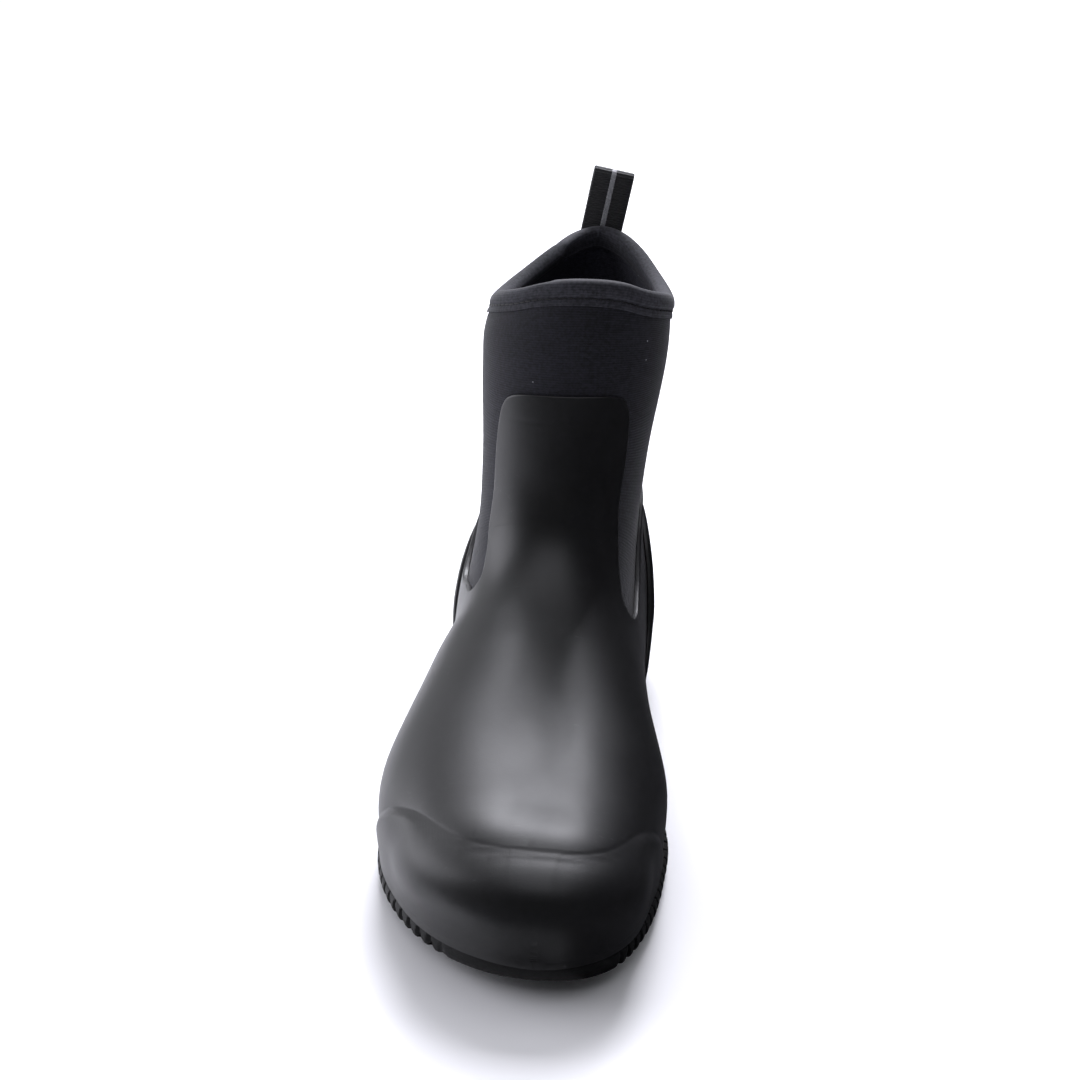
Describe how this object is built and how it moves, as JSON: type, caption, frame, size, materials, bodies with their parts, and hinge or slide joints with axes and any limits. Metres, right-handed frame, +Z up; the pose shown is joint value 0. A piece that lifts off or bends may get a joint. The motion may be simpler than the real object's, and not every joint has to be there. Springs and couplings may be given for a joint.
{
  "type": "rain boot",
  "caption": "Ankle-high pull-on rain boot for the right foot: neoprene shaft in a moulded rubber shell with toe guard, heel counter, lugged sole and webbing pull loop.",
  "frame": {"origin": "under the middle of the whole boot, on the floor", "axes": "+Z up, the toe points to -Y, the medial side (the big toe's side) is +X"},
  "size_m": [0.11, 0.3016, 0.2388],
  "materials": {
    "sole_rubber": "matte",
    "insole_fabric": "matte",
    "neoprene": "matte knit",
    "shell_rubber": "satin",
    "counter_rubber": "satin",
    "binding_fabric": "matte",
    "webbing": "ribbed with a grey reflective stripe"
  },
  "bodies": {
    "root": {"outsole": "sole_rubber", "insole": "insole_fabric", "neoprene_bootie": "neoprene", "rubber_shell": "shell_rubber", "heel_counter": "counter_rubber", "collar_binding": "binding_fabric", "pull_loop": "webbing"}
  },
  "joints": []
}
